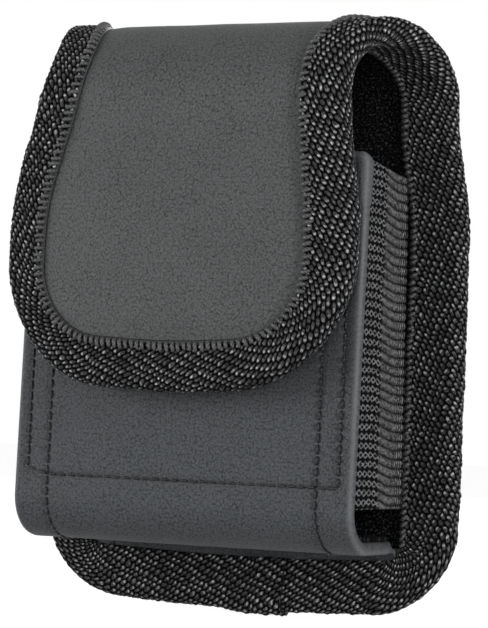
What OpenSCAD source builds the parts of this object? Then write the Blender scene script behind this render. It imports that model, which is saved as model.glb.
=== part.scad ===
// Phone belt holster. One padded leatherette strip makes the back panel, folds over the
// top and comes down in front as the flap, with woven tape folded over its whole edge.
// A wrapped pocket with elastic sides stands in front of the back panel, and a webbing
// loop for the belt is sewn on behind it.
// X runs along the belt, +Y points to the wearer and +Z is up. The origin is the middle
// of the belt, inside the belt loop.

/* [Back panel] */
// Width of the back panel over its binding
back_w = 108; // [102:1:114]
// Height of the back panel, from its bottom edge to the start of the fold
back_h = 114.5; // [112:0.5:122]
// Radius of the bottom corners
back_corner = 20; // [18:1:26]
// How far the bottom edge bulges below a straight line
back_sag = 1; // [0.5:0.1:1.6]
// How fast the corners tighten from the edge to the tape's inner line, 1 for parallel lines
corner_pull = 1.3; // [1:0.05:1.35]
// How much narrower the panel is at each side at the start of the fold
shoulder_in = 3.6; // [1:0.1:5]

/* [Strip layers] */
// Thickness of the leatherette cover
cover_t = 1.1; // [0.8:0.1:1.4]
// Thickness of the foam over the board
foam_t = 1.05; // [0.8:0.05:1.6]
// Thickness of the stiffening board in the back panel
board_t = 0.8; // [0.6:0.1:1.2]
// Thickness of the plush lining
lining_t = 1.1; // [0.8:0.1:1.4]
// Glue line between two layers
glue = 0.05; // [0.03:0.01:0.1]

/* [Binding] */
// Thickness of the woven tape
tape_t = 0.9; // [0.7:0.1:1.2]
// Width of tape on the outer face, from the folded edge
tape_out = 10.6; // [9:0.2:12]
// Width of tape on the lining face, from the folded edge
tape_in = 12.4; // [11:0.2:13.4]
// Room between the tape and the layers it holds
tape_gap = 0.2; // [0.15:0.05:0.3]
// Depth of the rounded fold along the edge
tape_fold = 2.6; // [2:0.1:3]
// Where the lapped end of the tape starts, along the bottom edge
lap_start = -2; // [-8:1:2]
// Where the lapped end of the tape stops, along the bottom edge
lap_end = 12; // [8:1:18]
// How far the lapped end stands above the tape below it
lap_t = 0.8; // [0.5:0.1:1]

/* [Fold and flap] */
// How far the flap's binding stands out past the pocket at each side
flap_over = 0.7; // [0:0.1:2]
// How much narrower than the flap the strip is at each side of its waist, over the fold
waist_in = 5.4; // [3:0.1:7]
// Length of the flap below the end of the fold
flap_l = 64.4; // [60:0.2:72]
// Radius of the flap's corners
flap_corner = 26; // [20:1:29]
// How far the flap's end bulges below a straight line
flap_sag = 0.8; // [0.4:0.1:1.4]
// How far the middle of the flap stands in front of its side edges
flap_crown = 3.2; // [2:0.1:4]
// Extra padding on the flap's lining side, in the middle
flap_pad = 0.8; // [0.4:0.1:1.2]
// Where the strip turns as the flap opens, in degrees round the fold from either end of it
turn_at = 45; // [35:1:55]
// Slit between the parts of the strip that turn against each other
split = 0.3; // [0.2:0.05:0.5]

/* [Pocket] */
// How far the back panel stands out past the pocket at each side
pocket_margin = 10.5; // [9:0.25:12]
// Depth of the pocket at its base, from the lining of the back panel to its front face
pocket_d = 33; // [28:0.5:38]
// How far the pocket's top edge is below the start of the fold
rim_drop = 9.5; // [5:0.5:14]
// Height of the pocket's underside above the bottom of the back panel
pocket_rise = 15.3; // [14.8:0.1:18]
// Backward lean of the pocket front, in degrees
lean = 1.6; // [0.5:0.1:2.4]
// Radius where the front turns under, on the outside
nose_r = 10; // [8:0.5:10]
// Thickness of the board that stiffens the pocket's front and floor
pocket_board_t = 1.7; // [1:0.1:2.2]
// Depth of the leatherette hem turned in at the top edge
hem = 12; // [8:1:16]
// How much narrower the pocket is at each side where it meets the back panel
flange_in = 3.3; // [3.2:0.1:6]

/* [Elastic sides] */
// Thickness of the elastic
elastic_t = 1.4; // [1:0.1:1.8]
// How far the elastic's lower edge is above the pocket's underside
elastic_foot = 10.2; // [9:0.1:12]
// How far the elastic's upper edge is below the pocket's top edge, at the back
elastic_drop = 3.5; // [2.5:0.5:8]
// Width of each end that is turned in and sewn down
elastic_tab = 9; // [7:0.5:11]
// Room between the elastic's front end and the pocket lining
elastic_gap = 0.3; // [0.25:0.05:0.4]
// How much higher the elastic's top edge is at the pocket front than at the back
elastic_slope = 2; // [0:0.25:2.5]

/* [Closure] */
// Width of the hook and loop patches
patch_w = 38; // [30:1:44]
// Height of the hook and loop patches
patch_h = 22; // [16:1:24]
// How far the middle of the patches is below the start of the fold
patch_drop = 37.5; // [36:0.5:39]
// Thickness of each patch, with its pile
patch_t = 2.5; // [1.8:0.1:2.8]
// Room between the hook patch and the loop patch with the flap closed
patch_gap = 0.3; // [0.2:0.05:0.5]
// Corner radius of the patches
patch_r = 3; // [1:0.5:5]

/* [Belt loop] */
// Width of the loop's webbing
loop_w = 50; // [38:1:56]
// Thickness of the loop's webbing
loop_t = 1.8; // [1.4:0.1:2.2]
// Height of the tunnel, for a belt up to about 50 mm wide
tunnel_h = 54; // [48:1:58]
// Depth of the tunnel
tunnel_d = 5; // [4.6:0.1:6]
// Height over which the webbing comes in to the panel above and below the tunnel
loop_ramp = 5; // [3:0.5:7]
// Height of each sewn end of the loop
loop_tab = 11; // [8:1:12]
// How far the middle of the belt is below the start of the fold
belt_drop = 48.5; // [47:0.5:50]

/* [Hidden] */

// Widths and heights that follow the back panel
pocket_w = back_w - 2 * pocket_margin;
flange_w = pocket_w - 2 * flange_in;
flap_w = pocket_w + 2 * flap_over;
waist_w = flap_w - 2 * waist_in;
pocket_top = back_h - rim_drop;
elastic_rise = pocket_rise + elastic_foot;
elastic_h = pocket_top - elastic_drop - elastic_rise;
belt_rise = back_h - belt_drop;

// Thicknesses and planes of the strip
core_t = cover_t + foam_t + board_t + lining_t + 3 * glue;
slot_n = core_t / 2 + tape_gap;
tape_n = slot_n + tape_t;
core_inset = 1.8;
slot_inset = core_inset - 2 * glue;
back_y = -(tunnel_d + core_t) / 2;
inner_y = back_y - core_t / 2;
base_z = -belt_rise;
fold_z = base_z + back_h;

// Layer faces, measured from the middle of the strip towards its outer face
cover_lo = core_t / 2 - cover_t;
foam_hi = cover_lo - glue;
foam_lo = foam_hi - foam_t;
board_hi = foam_lo - glue;
lining_hi = lining_t - core_t / 2;

// Pocket planes
pocket_z = base_z + pocket_rise;
rim_z = base_z + pocket_top;
wall_t = 2 * cover_t + pocket_board_t + 2 * glue;
flange_low = 6.5;
flange_bend = 2;
narrow_from = 12;
beyond = 5;

// The flap stands off the pocket by its padding and the closed patches
stand_off = core_t / 2 + flap_pad - flap_crown + 2 * patch_t + patch_gap + 2 * glue;
fold_r = (core_t / 2 - (front_y(fold_z) - inner_y) + stand_off) / 2;
s_fold = back_h;
s_flap = back_h + PI * fold_r;
s_end = s_flap + flap_l;
s_lift = s_fold + fold_r * turn_at * PI / 180;
s_turn = s_flap - fold_r * turn_at * PI / 180;

// The strip narrows from the back panel to its waist, then widens into the flap
shoulder_run = 26;
taper_wait = 6.5;
taper_turn = 0.825;
taper_run = 30;
shoulder_from = back_h - shoulder_run;
taper_from = s_fold + taper_wait;
taper_mid = s_fold + taper_turn * PI * fold_r;
taper_to = s_flap + taper_run;
crown_run = 26;
pad_from = 6;
pad_ramp = 14;
pad_foot = 5;

// Steps along each stretch of the outline
STEPS_END = 4;
STEPS_CORNER = 7;
STEPS_SIDE = 3;
STEPS_TURN = 4;
STEPS_FOLD = 8;
COLS = 10;

leather = [0.29, 0.30, 0.31];
tape = [0.13, 0.13, 0.135];
plush = [0.07, 0.07, 0.075];
foam = [0.42, 0.42, 0.44];
board = [0.55, 0.52, 0.47];

function front_y(z) = inner_y - pocket_d + tan(lean) * (z - pocket_z);
function smooth(t) = let (c = min(max(t, 0), 1)) c * c * (3 - 2 * c);
function mix(a, b, t) = a + (b - a) * t;
function flip(v) = [for (k = [len(v) - 1 : -1 : 0]) v[k]];
function arc(c, r, from, to, n) =
    [for (k = [0 : n]) let (a = mix(from, to, k / n)) c + r * [cos(a), sin(a)]];
function quad(a, b, c, d) = [[a, b, c], [a, c, d]];

// Half width of the strip at the distance s along it from its bottom edge
function half_w(s) = s < taper_mid
    ? mix(back_w - 2 * shoulder_in * smooth((s - shoulder_from) / shoulder_run), waist_w,
          smooth((s - taper_from) / (taper_mid - taper_from))) / 2
    : mix(waist_w, flap_w, smooth((s - taper_mid) / (taper_to - taper_mid))) / 2;

// Where the middle of the strip is at s: its y, its z and the direction it faces
function along(s) =
    s <= s_fold ? [back_y, base_z + s, 0] :
    s <= s_flap ? let (a = (s - s_fold) / fold_r * 180 / PI)
        [back_y - fold_r + fold_r * cos(a), fold_z + fold_r * sin(a), a] :
    [back_y - 2 * fold_r - (s - s_flap) * tan(lean), fold_z - (s - s_flap), 180];

// How far the flap's bowed middle stands out at s, u
function crown(s, u) =
    flap_crown * smooth((s - s_flap) / crown_run) * (1 - pow(abs(u) * 2 / flap_w, 3));

// How far the flap's padding stands in on the lining side at s, u
function pad(s, u) = let (half = flap_w / 2 - tape_in)
    flap_pad * max(0, 1 - pow(u / half, 2))
    * smooth((s - s_flap - pad_from) / pad_ramp) * smooth((s_end - tape_in - s) / pad_foot);

// The point at s along the strip, u across it and n above its middle surface
function on_strip(s, u, n) = let (p = along(s), m = n + crown(s, u))
    [u, p.x + m * cos(p.z), p.y + m * sin(p.z)];

// Half outline of each part of the strip as [s, u] points, drawn in by d from the edge.
// The corner is an arc of radius q beside a bulging end edge of half length f.
function end_pts(w, r, sag, pull, d) = let (q = r - pull * d, f = w / 2 - d - q)
    concat(
        [for (k = [1 : STEPS_END]) let (u = f * k / STEPS_END) [d + sag * pow(u / f, 2), u]],
        [for (k = [1 : STEPS_CORNER]) let (a = 90 * k / STEPS_CORNER, u = f + q * sin(a))
            [d + sag * pow(u / f, 2) + q * (1 - cos(a)), u]]);
function side_pts(from, to, n, d) =
    [for (k = [1 : n]) let (s = mix(from, to, k / n)) [s, half_w(s) - d]];
function panel_pts(top, d) = let (foot = back_corner + 4 * back_sag)
    concat(
        end_pts(back_w, back_corner, back_sag, corner_pull, d),
        side_pts(foot, shoulder_from, STEPS_SIDE, d),
        side_pts(shoulder_from, top, 2 * STEPS_SIDE, d));
function rise_pts(d) = side_pts(s_fold, s_lift - split / 2, STEPS_TURN, d);
function back_pts(d) = concat(panel_pts(s_fold, d), rise_pts(d));
function fold_pts(d) = let (from = s_lift + split / 2)
    concat([[from, half_w(from) - d]], side_pts(from, s_turn - split / 2, STEPS_FOLD, d));
function flap_pts(d) = let (from = s_turn + split / 2,
                            foot = s_end - flap_corner - 4 * flap_sag)
    concat(
        [[from, half_w(from) - d]],
        side_pts(from, s_flap, STEPS_TURN, d),
        side_pts(s_flap, foot, 2 * STEPS_SIDE, d),
        flip([for (p = end_pts(flap_w, flap_corner, flap_sag, 1, d)) [s_end - p[0], p[1]]]));

// One layer of the strip between two faces, each [height, share of the padding]
module layer(pts, cols, lo, hi) {
    rows = len(pts);
    step = cols + 1;
    skin = rows * step;
    points = [for (face = [lo, hi]) for (p = pts) for (j = [0 : cols])
        let (u = p[1] * (2 * j / cols - 1))
        on_strip(p[0], u, face[0] - face[1] * pad(p[0], u))];
    top = [for (k = [0 : rows - 2]) for (j = [0 : cols - 1]) let (i = k * step + j)
        each quad(skin + i, skin + i + 1, skin + i + step + 1, skin + i + step)];
    under = [for (k = [0 : rows - 2]) for (j = [0 : cols - 1]) let (i = k * step + j)
        each quad(i, i + step, i + step + 1, i + 1)];
    ends = [for (j = [0 : cols - 1]) let (i = (rows - 1) * step + j)
        each concat(quad(j, j + 1, skin + j + 1, skin + j),
                    quad(i, skin + i, skin + i + 1, i + 1))];
    sides = [for (k = [0 : rows - 2]) let (i = k * step, m = i + cols)
        each concat(quad(skin + i, skin + i + step, i + step, i),
                    quad(skin + m, m, m + step, skin + m + step))];
    polyhedron(points, concat(top, under, ends, sides), convexity = 6);
}

// A section of folded tape: an outer line and an inner line of as many points, as [d, n],
// both running from the outer face round the fold to the lining face
NOSE = [90, 45, 0, -45, -90];
function tape_section() = concat(
    [[tape_out, tape_n], [mix(tape_fold, tape_out, 0.5), tape_n]],
    [for (a = NOSE) [tape_fold * (1 - cos(a)), tape_n * sin(a)]],
    [[mix(tape_fold, tape_in, 0.5), -tape_n], [tape_in, -tape_n]],
    [[tape_in, -slot_n], [mix(slot_inset, tape_in, 0.5), -slot_n]],
    [for (a = flip(NOSE)) [slot_inset, slot_n * a / 90]],
    [[mix(slot_inset, tape_out, 0.5), slot_n], [tape_out, slot_n]]);

// Section of the lapped tape end, which is pressed a little into the tape below it
function lap_section() = let (press = 0.2, top = tape_n + lap_t, low = tape_n - press)
    concat(
        [[tape_out, top]],
        [for (a = NOSE) [(tape_fold + lap_t) * (1 - cos(a)) - lap_t, top * sin(a)]],
        [[tape_in, -top], [tape_in, -low]],
        [for (a = flip(NOSE)) [tape_fold * (1 - cos(a)) + press, low * sin(a)]],
        [[tape_out, low]]);

// A section of two paired lines swept along the rows of a table of points, rows[p][q]
module sweep(rows) {
    m = len(rows[0]);
    end = (len(rows) - 1) * m;
    walls = [for (p = [0 : len(rows) - 2]) for (q = [0 : m - 1])
        let (a = p * m + q, b = p * m + (q + 1) % m)
        each quad(a, b, b + m, a + m)];
    caps = [for (q = [0 : m / 2 - 2]) let (r = m - 1 - q)
        each concat(quad(r, r - 1, q + 1, q), quad(end + q, end + q + 1, end + r - 1, end + r))];
    polyhedron([for (row = rows) each row], concat(walls, caps), convexity = 8);
}

// Rows of the tape's section along a half outline, right (side = 1) or left (side = -1)
function tape_rows(outlines, section, side) =
    [for (p = [0 : len(outlines[0]) - 1]) [for (q = [0 : len(section) - 1])
        on_strip(outlines[q][p][0], side * outlines[q][p][1], section[q][1])]];

// A path moved to its right by d, and the band between two such moves
function moved(path, d) = let (n = len(path))
    [for (k = [0 : n - 1])
        let (a = path[max(k - 1, 0)], b = path[k], c = path[min(k + 1, n - 1)],
             t1 = k == 0 ? unit(c - b) : unit(b - a), t2 = k == n - 1 ? t1 : unit(c - b),
             m = unit(t1 + t2), scale = 1 / (m * t1))
        b + d * scale * [m.y, -m.x]];
function unit(v) = v / norm(v);
module band(path, near, far) polygon(concat(moved(path, near), flip(moved(path, far))));

// A side-view shape in Y and Z, made w wide in X about the middle
module across(w) rotate([90, 0, 90]) translate([0, 0, -w / 2]) linear_extrude(w) children();

// Outer face of the pocket's leatherette in side view, from the flange under the tape,
// forward along the underside, round the nose, up the front and over the rim
nose_c = [front_y(pocket_z) + tan(lean) * nose_r * (1 + sin(lean)) + nose_r * cos(lean),
          pocket_z + nose_r];
function floor_path() = concat(
    [[inner_y - 2 * flange_bend, pocket_z]],
    arc(nose_c, nose_r, 270, 180 - lean, 8),
    [[front_y(rim_z - wall_t / 2), rim_z - wall_t / 2]]);
function rim_path() = let (up = [tan(lean), 1], c = floor_path()[len(floor_path()) - 1]
                           + wall_t / 2 * [cos(lean), -sin(lean)])
    concat(
        [for (k = [1 : 6]) c + wall_t / 2 * [cos(180 - lean - 30 * k), sin(180 - lean - 30 * k)]],
        [c + wall_t / 2 * [cos(lean), -sin(lean)] - hem * up]);
function flange_path() = concat(
    [[inner_y, base_z + flange_low]],
    arc([inner_y - flange_bend, pocket_z - flange_bend], flange_bend, 0, 90, 4));

// Plan of the pocket, which narrows towards the back panel, drawn in by d
module plan(d) {
    w = pocket_w / 2 - d;
    t = flange_w / 2 - d;
    far = front_y(pocket_z) - beyond;
    wide = inner_y - narrow_from;
    thin = inner_y - flange_bend;
    translate([0, 0, base_z]) linear_extrude(pocket_top + beyond)
        polygon([[-w, far], [w, far], [w, wide], [t, thin], [t, back_y],
                 [-t, back_y], [-t, thin], [-w, wide]]);
}

// Children drawn in the plane of the pocket front, x across and y up from the underside
module on_front() translate([0, front_y(pocket_z), pocket_z]) rotate([90 - lean, 0, 0]) children();

function rounded(w, h, r) = concat(
    arc([w / 2 - r, h / 2 - r], r, 0, 90, 4), arc([r - w / 2, h / 2 - r], r, 90, 180, 4),
    arc([r - w / 2, r - h / 2], r, 180, 270, 4), arc([w / 2 - r, r - h / 2], r, 270, 360, 4));

module back_cover() color(leather)
    layer(back_pts(core_inset), 1, [cover_lo, 0], [core_t / 2, 0]);

// The foam lies over the board, and takes its place too where the strip bends
module back_foam() color(foam) {
    layer(panel_pts(s_fold, core_inset), 1, [foam_lo, 0], [foam_hi, 0]);
    layer(concat([[s_fold, half_w(s_fold) - core_inset]], rise_pts(core_inset)),
          1, [lining_hi + glue, 0], [foam_hi, 0]);
}

module back_board() color(board)
    layer(panel_pts(s_fold - 2 * glue, core_inset), 1, [board_hi - board_t, 0], [board_hi, 0]);

// The plush lining stops where the pocket's flange is sewn to the panel
module back_lining() color(plush) intersection() {
    layer(back_pts(core_inset), 1, [-core_t / 2, 0], [lining_hi, 0]);
    over = sqrt(pow(flange_bend + cover_t, 2) - pow(flange_bend, 2)) - flange_bend + 2 * glue;
    translate([-back_w, back_y - back_w, pocket_z + over])
        cube([2 * back_w, 2 * back_w, back_h + fold_r]);
}

module back_binding() color(tape) {
    section = tape_section();
    outlines = [for (v = section) back_pts(v[0])];
    sweep(concat(flip(tape_rows(outlines, section, -1)), tape_rows(outlines, section, 1)));
    lap = lap_section();
    sweep([for (k = [0 : 4]) let (u = mix(lap_start, lap_end, k / 4))
        [for (v = lap) on_strip(v[0] + back_sag * pow(u * 2 / (back_w - 2 * back_corner), 2),
                                u, v[1])]]);
}

// Leatherette of the pocket: one wrapped ply with turned edges at both sides
module pocket_cover() color(leather) intersection() {
    plan(0);
    union() {
        across(pocket_w) band(concat(flange_path(), floor_path(), rim_path()), 0, cover_t);
        difference() {
            across(pocket_w) band(floor_path(), 0, wall_t);
            plan(cover_t);
        }
    }
}

module pocket_board() color(board) intersection() {
    plan(cover_t + glue);
    across(pocket_w) band(floor_path(), cover_t + glue, cover_t + glue + pocket_board_t);
}

// The lining starts under the hem and runs round to the back of the floor
module pocket_lining() color(plush) intersection() {
    plan(cover_t + glue);
    across(pocket_w) band(floor_path(), wall_t - cover_t, wall_t);
    translate([-pocket_w, front_y(pocket_z) - beyond, base_z])
        cube([2 * pocket_w, 2 * pocket_d, pocket_top - wall_t / 2 - hem - 4 * glue]);
}

// The right elastic in plan, at its lower and upper edges, with both ends turned in. Its
// back end lies beside the tape.
module elastic_right() color(tape) {
    front_x = pocket_w / 2 - cover_t;
    by = inner_y - glue;
    sweep([for (up = [1, 0])
        let (s = elastic_rise + up * elastic_h, z = base_z + s,
             back_x = half_w(s) - tape_in - elastic_gap,
             fy = front_y(z) + wall_t / cos(lean) + elastic_gap,
             path = [[front_x - elastic_tab, fy], [front_x, fy], [back_x, by],
                     [back_x - elastic_tab, by]])
        [for (p = concat(path, flip(moved(path, -elastic_t))))
            [p.x, p.y, z + up * elastic_slope * (by - p.y) / (by - fy)]]]);
}
module elastic_left() mirror([1, 0, 0]) elastic_right();

module loop_patch() color(plush)
    on_front() translate([0, back_h - patch_drop - pocket_rise, glue])
        linear_extrude(patch_t) polygon(rounded(patch_w, patch_h, patch_r));

module belt_loop() color(tape) {
    near = glue - tunnel_d / 2;
    turn = tunnel_h / 2;
    reach = turn + loop_ramp;
    across(loop_w) band([[near, -reach - loop_tab], [near, -reach], [tunnel_d / 2, -turn],
                         [tunnel_d / 2, turn], [near, reach], [near, reach + loop_tab]],
                        0, loop_t);
}

module fold_cover() color(leather)
    layer(fold_pts(core_inset), 1, [cover_lo, 0], [core_t / 2, 0]);

module fold_foam() color(foam)
    layer(fold_pts(core_inset), 1, [lining_hi + glue, 0], [foam_hi, 0]);

module fold_lining() color(plush)
    layer(fold_pts(core_inset), 1, [-core_t / 2, 0], [lining_hi, 0]);

module fold_binding() color(tape) {
    section = tape_section();
    outlines = [for (v = section) fold_pts(v[0])];
    sweep(tape_rows(outlines, section, 1));
    sweep(flip(tape_rows(outlines, section, -1)));
}

module flap_cover() color(leather)
    layer(flap_pts(core_inset), COLS, [cover_lo, 0], [core_t / 2, 0]);

module flap_foam() color(foam)
    layer(flap_pts(core_inset), COLS, [lining_hi + glue, 1], [foam_hi, 0]);

module flap_lining() color(plush)
    layer(flap_pts(core_inset), COLS, [-core_t / 2, 1], [lining_hi, 1]);

module flap_binding() color(tape) {
    section = tape_section();
    outlines = [for (v = section) flap_pts(v[0])];
    sweep(concat(tape_rows(outlines, section, 1), flip(tape_rows(outlines, section, -1))));
}

// The hook patch follows the flap's lining, in line with the loop patch
module hook_patch() color(plush) {
    mid = s_flap + patch_drop;
    half = patch_w / 2;
    layer([[mid - patch_h / 2, half - patch_r], [mid - patch_h / 2 + patch_r, half], [mid, half],
           [mid + patch_h / 2 - patch_r, half], [mid + patch_h / 2, half - patch_r]],
          6, [-core_t / 2 - 2 * glue - patch_t, 1], [-core_t / 2 - 2 * glue, 1]);
}

back_cover();
back_foam();
back_board();
back_lining();
back_binding();
pocket_cover();
pocket_board();
pocket_lining();
elastic_left();
elastic_right();
loop_patch();
belt_loop();
fold_cover();
fold_foam();
fold_lining();
fold_binding();
flap_cover();
flap_foam();
flap_lining();
flap_binding();
hook_patch();
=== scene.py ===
import bpy
import numpy as np
from mathutils import Matrix, Vector


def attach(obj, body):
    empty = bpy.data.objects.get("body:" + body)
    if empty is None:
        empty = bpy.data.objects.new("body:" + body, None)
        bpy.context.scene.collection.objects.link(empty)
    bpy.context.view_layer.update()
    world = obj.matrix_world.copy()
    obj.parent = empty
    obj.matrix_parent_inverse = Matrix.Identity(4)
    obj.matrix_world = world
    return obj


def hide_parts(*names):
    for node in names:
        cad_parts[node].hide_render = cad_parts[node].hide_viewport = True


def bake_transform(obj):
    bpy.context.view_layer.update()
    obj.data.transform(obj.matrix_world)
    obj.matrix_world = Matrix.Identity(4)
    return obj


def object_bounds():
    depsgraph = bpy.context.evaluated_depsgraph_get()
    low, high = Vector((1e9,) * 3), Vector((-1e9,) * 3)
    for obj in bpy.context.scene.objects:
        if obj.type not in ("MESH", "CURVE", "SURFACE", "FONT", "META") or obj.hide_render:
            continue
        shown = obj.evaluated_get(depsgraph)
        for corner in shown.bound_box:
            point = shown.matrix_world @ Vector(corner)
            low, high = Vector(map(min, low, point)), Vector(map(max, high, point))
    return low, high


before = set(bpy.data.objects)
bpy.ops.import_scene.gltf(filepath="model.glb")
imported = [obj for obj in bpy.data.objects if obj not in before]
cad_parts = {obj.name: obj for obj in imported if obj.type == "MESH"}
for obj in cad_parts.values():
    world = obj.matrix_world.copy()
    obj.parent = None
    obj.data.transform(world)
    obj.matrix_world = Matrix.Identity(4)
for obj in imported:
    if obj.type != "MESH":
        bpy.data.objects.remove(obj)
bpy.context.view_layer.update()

MM = 0.001

# Strip
BACK_W, BACK_H, BACK_R, BACK_SAG, BACK_PULL = 108.0, 114.5, 20.0, 1.0, 1.3
FLAP_W, FLAP_L, FLAP_R, FLAP_SAG = 88.4, 64.4, 26.0, 0.8
WAIST_W, CORE_T, CORE_INSET = 77.6, 4.2, 1.8
SHOULDER_IN, SHOULDER_RUN = 3.6, 26.0
FLAP_CROWN, FLAP_PAD = 3.2, 0.8
LEAN_ANGLE = np.radians(1.6)
LEAN, LEAN_COS = np.tan(LEAN_ANGLE), np.cos(LEAN_ANGLE)
BACK_Y, BASE_Z = -4.6, -66.0
INNER_Y = BACK_Y - CORE_T / 2
FOLD_R = 18.7145
FOLD_Z = BASE_Z + BACK_H
S_FOLD = BACK_H
S_FLAP = S_FOLD + np.pi * FOLD_R
S_END = S_FLAP + FLAP_L
S_MID = (S_FOLD + S_FLAP) / 2
TAPER_FROM, TAPER_MID, TAPER_TO = S_FOLD + 6.5, S_FOLD + 0.825 * np.pi * FOLD_R, S_FLAP + 30
CROWN_RUN, PAD_FROM, PAD_RAMP, PAD_FOOT = 26.0, 6.0, 14.0, 5.0
SWAY, SWAY_AT, SWAY_RUN = 1.4, 158.0, 20.0
LINING_FOOT = 16.4  # where the back lining ends above the pocket's flange

# Tape
TAPE_OUT, TAPE_IN, TAPE_FOLD, TAPE_N = 10.6, 12.4, 2.6, 3.2

# Pocket and elastic
POCKET_W, POCKET_D, POCKET_Z, RIM_Z = 87.0, 33.0, -50.7, 39.0
WALL_T, PLY_T, NOSE_R, HEM = 4.0, 1.1, 10.0, 12.0
FLANGE_W, FLANGE_LOW, FLANGE_BEND, NARROW_FROM = 80.4, 6.5, 2.0, 12.0
ELASTIC_H, ELASTIC_T, ELASTIC_LOW, ELASTIC_SLOPE, ELASTIC_CUT = 76.0, 1.4, -40.5, 2.0, 28.5
STITCH_IN, STITCH_OUT, STITCH_ROW_Z = 34.6, 40.0, -35.9


def smooth(t):
    """From 0 to 1 with level ends while t goes from 0 to 1."""
    c = np.clip(t, 0, 1)
    return c * c * (3 - 2 * c)


def mix(a, b, t):
    return a + (b - a) * t


def lattice(x, y, seed):
    """A fixed pseudo-random number from -1 to 1 for each pair of whole numbers."""
    h = x.astype(np.int64) * 374761393 + y.astype(np.int64) * 668265263 + seed * 982451653
    h &= 0xFFFFFFFF
    h = ((h ^ (h >> 13)) * 1274126177) & 0xFFFFFFFF
    return ((h ^ (h >> 16)) & 0xFFFF) / 32767.5 - 1


def noise(x, y, seed=0):
    """Smooth noise from -1 to 1 with one feature per unit."""
    x, y = np.broadcast_arrays(x, y)
    ix, iy = np.floor(x), np.floor(y)
    fx, fy = smooth(x - ix), smooth(y - iy)
    low = mix(lattice(ix, iy, seed), lattice(ix + 1, iy, seed), fx)
    high = mix(lattice(ix, iy + 1, seed), lattice(ix + 1, iy + 1, seed), fx)
    return mix(low, high, fy)


def distances(points):
    """How far each point of a line lies from its start."""
    return np.concatenate([[0], np.cumsum(np.linalg.norm(np.diff(points, axis=0), axis=1))])


# ---- The strip as a surface ----

def half_w(s):
    """Half the strip's width at s along it: panel, shoulders, waist over the fold, flap."""
    panel = BACK_W - 2 * SHOULDER_IN * smooth((s - BACK_H + SHOULDER_RUN) / SHOULDER_RUN)
    up = mix(panel, WAIST_W, smooth((s - TAPER_FROM) / (TAPER_MID - TAPER_FROM)))
    down = mix(WAIST_W, FLAP_W, smooth((s - TAPER_MID) / (TAPER_TO - TAPER_MID)))
    return np.where(s < TAPER_MID, up, down) / 2


def crown(s, u):
    """How far the flap bows outward."""
    bow = 1 - np.abs(2 * u / FLAP_W) ** 3
    return FLAP_CROWN * smooth((s - S_FLAP) / CROWN_RUN) * bow


def pad(s, u):
    """How much thicker the flap's foam is between its taped edges."""
    across = np.maximum(0, 1 - (u / (FLAP_W / 2 - TAPE_IN)) ** 2)
    return (FLAP_PAD * across * smooth((s - S_FLAP - PAD_FROM) / PAD_RAMP)
            * smooth((S_END - TAPE_IN - s) / PAD_FOOT))


def sway(s):
    """The sewn strip sits a little to the right over the fold."""
    return SWAY * np.exp(-((s - SWAY_AT) / SWAY_RUN) ** 2)


def on_strip(s, u, n):
    """Points at s along the strip, u across it and n above its middle surface."""
    s, u, n = np.broadcast_arrays(s, u, n)
    a = np.clip((s - S_FOLD) / FOLD_R, 0, np.pi)
    past = np.maximum(s - S_FLAP, 0)
    y = BACK_Y - FOLD_R + FOLD_R * np.cos(a) - past * LEAN
    z = FOLD_Z + np.minimum(s - S_FOLD, 0) + FOLD_R * np.sin(a) - past
    m = n + crown(s, u)
    return np.stack([u + sway(s), y + m * np.cos(a), z + m * np.sin(a)], -1)


BACK = dict(w=BACK_W, r=BACK_R, sag=BACK_SAG, pull=BACK_PULL, end=0.0, way=1, reach=S_MID)
FLAP = dict(w=FLAP_W, r=FLAP_R, sag=FLAP_SAG, pull=1.0, end=S_END, way=-1, reach=S_END - S_MID)


def edge(half, t, d):
    """Strip coordinates of a half's outline drawn in by d. t runs from -3 at the middle of
    the fold on the left, through 0 in the middle of the end, to 3 on the right."""
    k = np.abs(t)
    q = half["r"] - half["pull"] * d
    f = half["w"] / 2 - d - q
    a = np.clip(k - 1, 0, 1) * np.pi / 2
    u = f * np.minimum(k, 1) + q * np.sin(a)
    s = d + half["sag"] * (u / f) ** 2 + q * (1 - np.cos(a))
    s = s + np.clip(k - 2, 0, 1) * (half["reach"] - s)
    s = half["end"] + half["way"] * s
    u = np.where(k > 2, half_w(s) - d, u)
    return s, u * np.sign(t)


def spaced(half, d, pitch):
    """Evenly spaced values of t along the outline drawn in by d, and the distances there."""
    t = np.linspace(0, 3, 3001)
    s, u = edge(half, t, d)
    far = distances(on_strip(s, u, 0))
    count = max(1, round(far[-1] / pitch))
    at = np.linspace(0, far[-1], count + 1)
    t = np.interp(at, far, t)
    return np.concatenate([-t[:0:-1], t]), np.concatenate([-at[:0:-1], at])


def inside(half, s, u):
    """Distance in from the outline, near enough, for shaping the padding."""
    y = (s - half["end"]) * half["way"]
    x, f = np.abs(u), half["w"] / 2 - half["r"]
    corner = half["r"] - np.hypot(x - f, half["r"] - y)
    return np.where((x > f) & (y < half["r"]), corner, np.minimum(half_w(s) - x, y))


# ---- Meshes ----

def make(name, points, faces, material, cloth, painted_highlight=None):
    """A piece from points in mm. cloth gives each point's place in the weave or grain, and
    painted_highlight how strongly a highlight is painted on it."""
    mesh = bpy.data.meshes.new(name)
    points = np.asarray(points, float).reshape(-1, 3)
    mesh.from_pydata((points * MM).tolist(), [], faces)
    mesh.shade_smooth()
    layer = mesh.attributes.new("cloth", "FLOAT_VECTOR", "POINT")
    layer.data.foreach_set("vector", np.asarray(cloth, np.float32).reshape(-1))
    if painted_highlight is not None:
        layer = mesh.attributes.new("painted_highlight", "FLOAT", "POINT")
        layer.data.foreach_set("value", np.asarray(painted_highlight, np.float32).reshape(-1))
    mesh.materials.append(material)
    piece = bpy.data.objects.new(name, mesh)
    bpy.context.collection.objects.link(piece)
    return piece


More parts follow.
